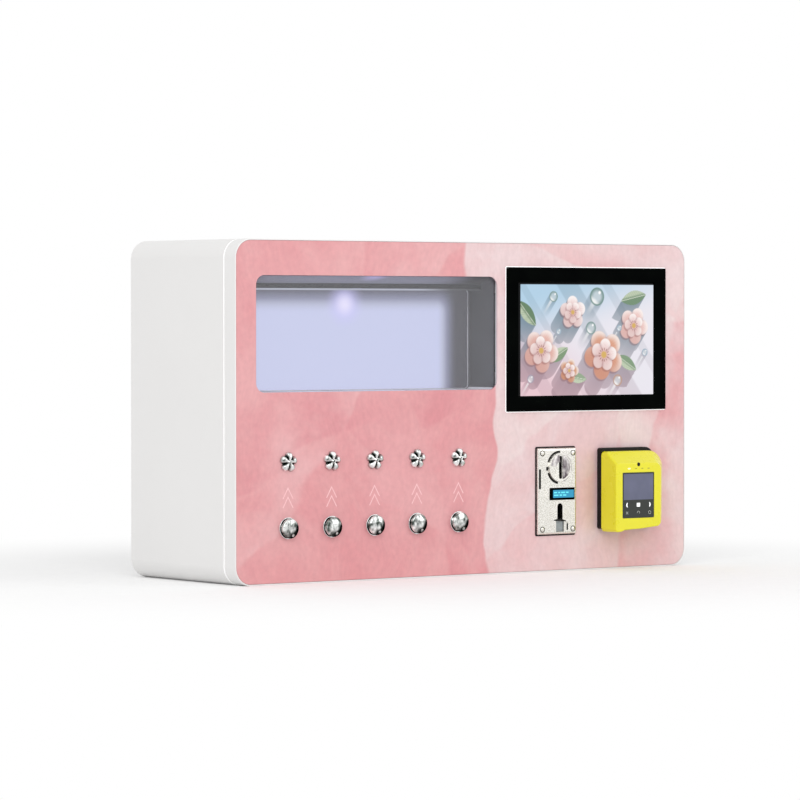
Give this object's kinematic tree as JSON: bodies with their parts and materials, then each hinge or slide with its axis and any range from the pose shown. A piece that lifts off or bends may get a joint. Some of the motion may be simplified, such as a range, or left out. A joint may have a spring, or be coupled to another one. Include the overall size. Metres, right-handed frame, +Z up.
{
  "type": "perfume vending machine",
  "caption": "Counter or wall perfume dispenser: lit display window, screen, coin and card payment, and spray nozzles with push buttons on a side-hinged door.",
  "frame": {"origin": "middle of the underside of the whole machine, card reader included", "axes": "+X to the right along the width, -Y out of the printed face, +Z up"},
  "size_m": [0.68, 0.256, 0.4],
  "materials": {
    "white_powder_coat": "semi-gloss powder coat",
    "printed_face": "satin printed film on an acrylic sheet",
    "clear_acrylic": "clear, polished",
    "grey_liner_paint": "satin grey",
    "frosted_back_panel": "matt, lit from above",
    "lamp_lens": "glowing lens",
    "gloss_black": "gloss",
    "screen_glass": "polished screen",
    "black_plastic": "matt moulded",
    "zinc_plated_steel": "zinc plated",
    "steel_sheet": "bare sheet",
    "chrome_plate": "mirror polished",
    "polished_zinc_plate": "satin chrome",
    "grey_plastic": "satin",
    "coin_display_blue": "lit liquid crystal",
    "yellow_plastic": "semi-gloss moulded",
    "reader_glass_dark": "dark glass",
    "translucent_tank": "translucent",
    "clear_hose": "soft clear",
    "pump_black": "matt moulded",
    "supply_aluminium": "plain",
    "board_green": "solder mask"
  },
  "bodies": {
    "cabinet": {"cabinet_shell": "white_powder_coat", "display_liner": "grey_liner_paint", "display_back_panel": "frosted_back_panel", "led_lamp": "lamp_lens", "power_supply": "supply_aluminium", "control_board": "board_green", "coin_box": "steel_sheet", "power_inlet": "black_plastic", "hinge_body_leaf": "zinc_plated_steel", "hinge_pin": "zinc_plated_steel", "lock_body": "zinc_plated_steel"},
    "door": {"door_frame": "white_powder_coat", "face_panel": "printed_face", "window_pane": "clear_acrylic", "lcd_bezel": "gloss_black", "lcd_panel": "screen_glass", "lcd_back_cover": "black_plastic", "tank_rack": "steel_sheet", "coin_plate": "polished_zinc_plate", "coin_display": "coin_display_blue", "coin_mechanism": "black_plastic", "reader_base": "black_plastic", "reader_housing": "yellow_plastic", "reader_glass": "reader_glass_dark", "hinge_door_leaf": "zinc_plated_steel", "lock_keeper": "zinc_plated_steel", "nozzle_1": "chrome_plate", "button_barrel_1": "zinc_plated_steel", "perfume_tank_1": "translucent_tank", "pump_1": "pump_black", "tube_1": "clear_hose", "nozzle_2": "chrome_plate", "button_barrel_2": "zinc_plated_steel", "perfume_tank_2": "translucent_tank", "pump_2": "pump_black", "tube_2": "clear_hose", "nozzle_3": "chrome_plate", "button_barrel_3": "zinc_plated_steel", "perfume_tank_3": "translucent_tank", "pump_3": "pump_black", "tube_3": "clear_hose", "nozzle_4": "chrome_plate", "button_barrel_4": "zinc_plated_steel", "perfume_tank_4": "translucent_tank", "pump_4": "pump_black", "tube_4": "clear_hose", "nozzle_5": "chrome_plate", "button_barrel_5": "zinc_plated_steel", "perfume_tank_5": "translucent_tank", "pump_5": "pump_black", "tube_5": "clear_hose"},
    "lock_cam": {"lock_cam": "zinc_plated_steel"},
    "inlet_rocker": {"inlet_rocker": "black_plastic"},
    "coin_reject_button": {"coin_reject_button": "polished_zinc_plate"},
    "coin_return_flap": {"coin_return_flap": "grey_plastic"},
    "button_1": {"button_1": "chrome_plate"},
    "button_2": {"button_2": "chrome_plate"},
    "button_3": {"button_3": "chrome_plate"},
    "button_4": {"button_4": "chrome_plate"},
    "button_5": {"button_5": "chrome_plate"}
  },
  "joints": [
    {"name": "door_hinge", "type": "hinge", "parent": "cabinet", "child": "door", "pos_m": [-0.3345, -0.084, 0.2], "axis": [0, 0, -1], "range_deg": [0, 90]},
    {"name": "lock_turn", "type": "hinge", "parent": "cabinet", "child": "lock_cam", "pos_m": [0.315, -0.047, 0.2], "axis": [-1, 0, 0], "range_deg": [0, 90]},
    {"name": "rocker_tilt", "type": "hinge", "parent": "cabinet", "child": "inlet_rocker", "pos_m": [0.2645, 0.1213, 0.045], "axis": [-1, 0, 0], "range_deg": [0, 16]},
    {"name": "coin_reject_press", "type": "slide", "parent": "door", "child": "coin_reject_button", "axis": [0, 1, 0], "range_m": [0, 0.0022], "stiffness_N_per_m": 400},
    {"name": "coin_flap_swing", "type": "hinge", "parent": "door", "child": "coin_return_flap", "pos_m": [0.1355, -0.0948, 0.0607], "axis": [1, 0, 0], "range_deg": [0, 35]},
    {"name": "button_1_press", "type": "slide", "parent": "door", "child": "button_1", "axis": [0, 1, 0], "range_m": [0, 0.0025], "stiffness_N_per_m": 600},
    {"name": "button_2_press", "type": "slide", "parent": "door", "child": "button_2", "axis": [0, 1, 0], "range_m": [0, 0.0025], "stiffness_N_per_m": 600},
    {"name": "button_3_press", "type": "slide", "parent": "door", "child": "button_3", "axis": [0, 1, 0], "range_m": [0, 0.0025], "stiffness_N_per_m": 600},
    {"name": "button_4_press", "type": "slide", "parent": "door", "child": "button_4", "axis": [0, 1, 0], "range_m": [0, 0.0025], "stiffness_N_per_m": 600},
    {"name": "button_5_press", "type": "slide", "parent": "door", "child": "button_5", "axis": [0, 1, 0], "range_m": [0, 0.0025], "stiffness_N_per_m": 600}
  ]
}
